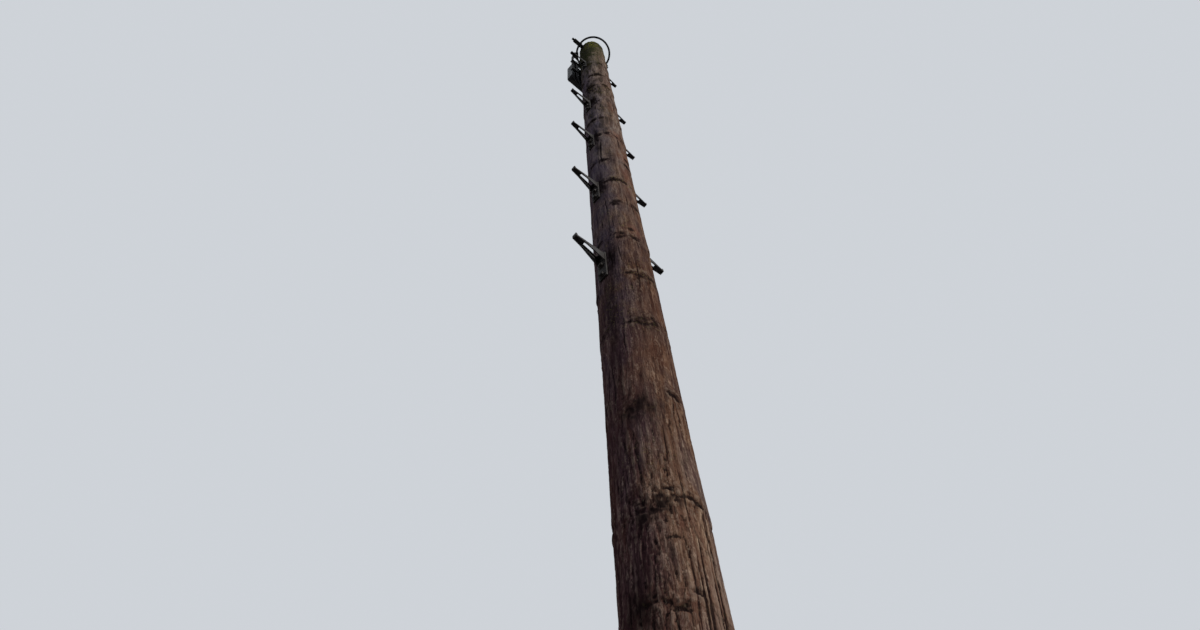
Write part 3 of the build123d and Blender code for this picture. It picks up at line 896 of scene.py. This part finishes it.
def dust_with_lichen(wood, color, height):
    """Specks of yellow lichen in loose fields, from the middle of the pole up."""
    field = wood.fit(wood.noise(5.5, 3, 0.6), 0.50, 0.62)
    lichen = wood.times(wood.fit(wood.noise(120, 3, 0.7), 0.58, 0.66), field)
    lichen = wood.times(lichen, wood.fit(height, 2.6, 5.0))
    return wood.mix(wood.times(lichen, 0.7), color, LICHEN)


def cut_end(wood, color):
    """Growth rings on the flat top."""
    square = wood.plus(wood.times(wood.axis("X"), wood.axis("X")), wood.times(wood.axis("Y"), wood.axis("Y")))
    uneven = wood.times(wood.noise(14, 4, 0.6), 0.003)
    rings = wood.calc("SINE", wood.times(wood.plus(wood.calc("SQRT", square), uneven), 1800))
    end_grain = wood.ramp(wood.fit(rings, -1, 1), END_GRAIN_TONES)
    return wood.mix(wood.fit(wood.facing_up(), 0.6, 0.9), color, end_grain)


def cover_with_moss(wood, color, height):
    """Moss over the top, near black on the damp side and yellow in one patch, with a thin film below it."""
    tuft = wood.noise(60, 5, 0.7)
    clump = wood.noise(38, 3, 0.6, (1, 1, 0.35))
    above_top = wood.calc("SUBTRACT", height, POLE_HEIGHT)
    level = wood.plus(above_top, wood.fit(wood.towards(MOSSY_SIDE), 0.00, 0.085, 0.0, 0.50))
    level = wood.plus(level, wood.centred(clump, 1.4))
    film = wood.times(wood.fit(level, -0.85, -0.25), 0.55)
    color = cut_end(wood, wood.mix(film, color, MOSS_FILM))
    rim = wood.times(wood.fit(above_top, -0.34, -0.16), wood.fit(wood.towards(FRESH_MOSS_SIDE), 0.062, 0.086))
    fresh = wood.fit(wood.plus(tuft, wood.centred(clump, 0.8)), 0.44, 0.62, 0.0, 0.95)
    moss = wood.mix(wood.times(rim, fresh), wood.ramp(tuft, MOSS_TONES), FRESH_MOSS)
    cover = wood.times(wood.fit(level, -0.34, -0.14), wood.fit(tuft, 0.40, 0.52))
    return wood.mix(cover, color, moss)


def bump_wood(wood, noises, low_down):
    """Fine relief under the mesh's own: fibres and flakes, and splinters that stand out most low down."""
    relief = wood.plus(wood.times(noises["fibres"], 0.45), wood.times(noises["flakes"], 0.6))
    relief = wood.plus(relief, wood.times(noises["grain"], 0.5))
    relief = wood.plus(relief, wood.times(noises["splinter"], wood.fit(low_down, 0, 1, 0.05, 0.28)))
    relief = wood.plus(relief, wood.times(noises["sliver"], wood.fit(low_down, 0, 1, 0.04, 0.20)))
    wood.bump(relief, 1.0, 0.0050)


def wood_material():
    """Weathered preserved softwood: brown and grey flakes, dark checks and knots, lichen and moss."""
    wood = Nodes("weathered_wood", roughness=0.95, specular=0.0)
    noises = wood_noises(wood)
    height = wood.axis("Z")
    low_down = wood.fit(height, 4.6, 3.0)
    tone = wood_tone(wood, noises, low_down)
    grey_share = wood.fit(noises["patches"], 0.44, 0.58)
    color = wood.mix(grey_share, wood.ramp(tone, BROWN_TONES), wood.ramp(tone, GREY_TONES))
    color = wood.mix(wood.fit(noises["fields"], 0.42, 0.60, 0.0, 0.60), color, RED_BROWN_FIELD)
    color = weather_sides(wood, color, height, low_down, noises["patches"])
    color = wood.mix(wood.times(wood.weight("red"), 0.62), color, RED_BROWN_PATCH)
    color = blotch_high_wood(wood, color, height)
    color = mark_relief(wood, color, noises, low_down)
    # Dark knots and stains, with painted shade in knot hollows and creases and round knots and steps
    color = wood.mix(wood.times(wood.weight("knot"), 0.92), color, KNOT_STAIN_AND_SHADE)
    color = dust_with_lichen(wood, color, height)
    color = cover_with_moss(wood, color, height)
    bump_wood(wood, noises, low_down)
    return wood.finish(color)


def galvanised_material(name, light, dark):
    """Old galvanising: cloudy spangle, dull, with grime in soft patches and brown stain near the wood."""
    steel = Nodes(name, roughness=0.6, metallic=0.12, specular=0.05)
    out = steel.calc("ABSOLUTE", steel.axis("X"))
    cloud = steel.noise(70, 4, 0.6)
    grime = steel.noise(18, 4, 0.65)
    color = steel.ramp(cloud, ((0.36, dark), (0.64, light)))
    color = steel.mix(steel.fit(grime, 0.50, 0.72, 0.0, 0.8), color, (0.045, 0.042, 0.038))
    color = steel.mix(steel.fit(out, 0.120, 0.104, 0.0, 0.92), color, (0.013, 0.010, 0.009))
    # The steel is darker from the terminal box up: painted shade, with grime under the moss
    color = steel.mix(steel.fit(steel.axis("Z"), 7.6, 8.0, 0.0, 0.65), color, (0.010, 0.010, 0.009))
    steel.bump(cloud, 0.25, 0.0006)
    return steel.finish(color, steel.fit(grime, 0.3, 0.7, 0.5, 0.8))


def plastic_material(name, color, shade, roughness):
    """Moulded plastic with a fine texture and faded, dusty patches."""
    plastic = Nodes(name, roughness=roughness, specular=0.04)
    dust = plastic.noise(24, 4, 0.6, (1, 1, 0.4))
    grain = plastic.noise(900, 2, 0.5)
    tint = plastic.mix(plastic.fit(dust, 0.40, 0.68), color, shade)
    plastic.bump(grain, 0.2, 0.0002)
    return plastic.finish(tint, plastic.fit(dust, 0.3, 0.7, roughness - 0.08, roughness + 0.1))


def make_finishes():
    """The materials of every CAD node but the shaft, by the record's material slot."""
    galvanised = (
        ("galvanised_steel", (0.044, 0.042, 0.044), (0.013, 0.012, 0.013)),
        ("galvanised_rail", (0.24, 0.25, 0.26), (0.10, 0.105, 0.11)),
        ("bolt_steel", (0.024, 0.023, 0.024), (0.010, 0.010, 0.011)),
    )
    plastic = (
        ("ring_steel", (0.012, 0.013, 0.016), (0.030, 0.031, 0.036), 0.45),
        ("box_body_plastic", (0.020, 0.020, 0.022), (0.040, 0.040, 0.041), 0.45),
        ("box_cover_plastic", (0.022, 0.022, 0.024), (0.045, 0.045, 0.046), 0.42),
        ("gland_plastic", (0.012, 0.012, 0.013), (0.03, 0.03, 0.03), 0.5),
        ("cable_jacket", (0.010, 0.010, 0.012), (0.028, 0.028, 0.030), 0.5),
    )
    finishes = {name: galvanised_material(name, light, dark) for name, light, dark in galvanised}
    for name, color, shade, roughness in plastic:
        finishes[name] = plastic_material(name, color, shade, roughness)
    return finishes


def direction(bearing, rise):
    """A unit vector along a bearing round the pole from +X, at an angle above the horizon."""
    return Vector((math.cos(bearing) * math.cos(rise), math.sin(bearing) * math.cos(rise), math.sin(rise)))


def place_camera():
    """The photo's own view: steeply up along the pole, with a slight roll."""
    data = bpy.data.cameras.new("camera")
    data.lens = CAMERA_LENS
    data.clip_end = CAMERA_REACH
    camera = bpy.data.objects.new("camera", data)
    bpy.context.scene.collection.objects.link(camera)
    ahead = direction(VIEW_HEADING, VIEW_PITCH)
    level = Vector((math.sin(VIEW_HEADING), -math.cos(VIEW_HEADING), 0))
    upward = level.cross(ahead)
    right = math.cos(VIEW_ROLL) * level + math.sin(VIEW_ROLL) * upward
    up = math.cos(VIEW_ROLL) * upward - math.sin(VIEW_ROLL) * level
    turn = Matrix((right, up, -ahead)).transposed()
    place = Vector((CAMERA_DISTANCE * math.cos(CAMERA_BEARING), CAMERA_DISTANCE * math.sin(CAMERA_BEARING),
                    CAMERA_HEIGHT))
    camera.matrix_world = Matrix.Translation(place) @ turn.to_4x4()
    bpy.context.scene.camera = camera


def light_scene():
    """One broad soft key from the photo's right."""
    key = bpy.data.lights.new("key", "SUN")
    key.energy = KEY_POWER
    key.angle = KEY_WIDTH
    key.color = KEY_COLOR
    lamp = bpy.data.objects.new("key", key)
    bpy.context.scene.collection.objects.link(lamp)
    lamp.rotation_mode = "QUATERNION"
    lamp.rotation_quaternion = direction(KEY_BEARING, KEY_RISE).to_track_quat("Z", "Y")
    bpy.context.scene.view_settings.view_transform = "Standard"


def seen_directly(tree):
    """1 for the camera's rays and for reflections, and 0 for the light that lands on the part."""
    rays = tree.nodes.new("ShaderNodeLightPath")
    seen = tree.nodes.new("ShaderNodeMath")
    seen.operation = "MAXIMUM"
    tree.links.new(rays.outputs["Is Camera Ray"], seen.inputs[0])
    tree.links.new(rays.outputs["Is Glossy Ray"], seen.inputs[1])
    return seen.outputs["Value"]


def make_surround():
    """A pale even surround that sends a softer light onto the part."""
    world = bpy.data.worlds.new("surround")
    world.use_nodes = True
    tree = world.node_tree
    mix = tree.nodes.new("ShaderNodeMix")
    mix.data_type = "RGBA"
    mix.inputs["A"].default_value = (*SURROUND_LIGHT, 1)
    mix.inputs["B"].default_value = (*SURROUND_SEEN, 1)
    tree.links.new(seen_directly(tree), mix.inputs["Factor"])
    tree.links.new(mix.outputs["Result"], tree.nodes["Background"].inputs["Color"])
    bpy.context.scene.world = world


def make_floor():
    """A plain round floor: it looks pale and sends little light back up, as plain ground does."""
    turns = np.linspace(0, 2 * math.pi, FLOOR_SIDES + 1)[:-1]
    rim = [(FLOOR_RADIUS * math.cos(turn), FLOOR_RADIUS * math.sin(turn), 0) for turn in turns]
    floor = new_piece("floor", rim, [tuple(range(FLOOR_SIDES))])
    paint = Nodes("floor_paint", roughness=0.9, specular=0.1)
    shade = paint.ramp(paint.noise(0.6, 2), FLOOR_SEEN)
    set_material(floor, paint.finish(paint.mix(seen_directly(paint.tree), FLOOR_LIGHT, shade)))


def add_shaft():
    """Puts the weathered stretches in the place of the plain shaft."""
    for stretch in make_shaft(wood_material()):
        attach(stretch, "root")
        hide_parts("pole_shaft")


def dress_nodes(finishes):
    """Gives each CAD node that shows the finish of its slot in the record."""
    for entry in frame["record"]["subparts"]:
        if entry["material_slot"] in finishes:
            set_material(CAD[entry["node"]], finishes[entry["material_slot"]])


def add_fixing(piece, material):
    """Lets a small fastener ride on the part in dark steel."""
    set_material(piece, material)
    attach(piece, "root")


def add_step_screws(material):
    """Two screws through each step's back plate, on its centre line."""
    for name in sorted(CAD):
        if name.startswith("step_"):
            low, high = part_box(name)
            side = 1 if low.x > 0 else -1
            plate_back = low.x if side > 0 else high.x
            face = plate_back + side * STEP_PLATE
            tread = low.z + STEP_PLATE_DROP
            places = [(face, 0, tread - drop) for drop in STEP_HOLE_DROPS]
            add_fixing(make_screws(name + "_screws", places, (side, 0, 0)), material)


def add_cover_screws(material):
    """Six screws in two columns on the terminal box's cover."""
    low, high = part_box("terminal_cover")
    columns = (low.x + COVER_SCREW_INSET, high.x - COVER_SCREW_INSET)
    rows = (low.z + COVER_SCREW_INSET, (low.z + high.z) / 2, high.z - COVER_SCREW_INSET)
    places = [(x, high.y, z) for x in columns for z in rows]
    add_fixing(make_cover_screws("cover_screws", places), material)


def add_bolt_thread(material):
    """The thread on the ring bolt's bare end, from its tip to the nut."""
    low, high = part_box("ring_bolt")
    nut_low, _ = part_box("ring_nut")
    add_fixing(make_thread("ring_bolt_thread", low.x, nut_low.x, (low.z + high.z) / 2), material)


place_camera()
light_scene()
make_surround()
make_floor()
add_shaft()
finishes = make_finishes()
dress_nodes(finishes)
add_step_screws(finishes["bolt_steel"])
add_cover_screws(finishes["bolt_steel"])
add_bolt_thread(finishes["bolt_steel"])
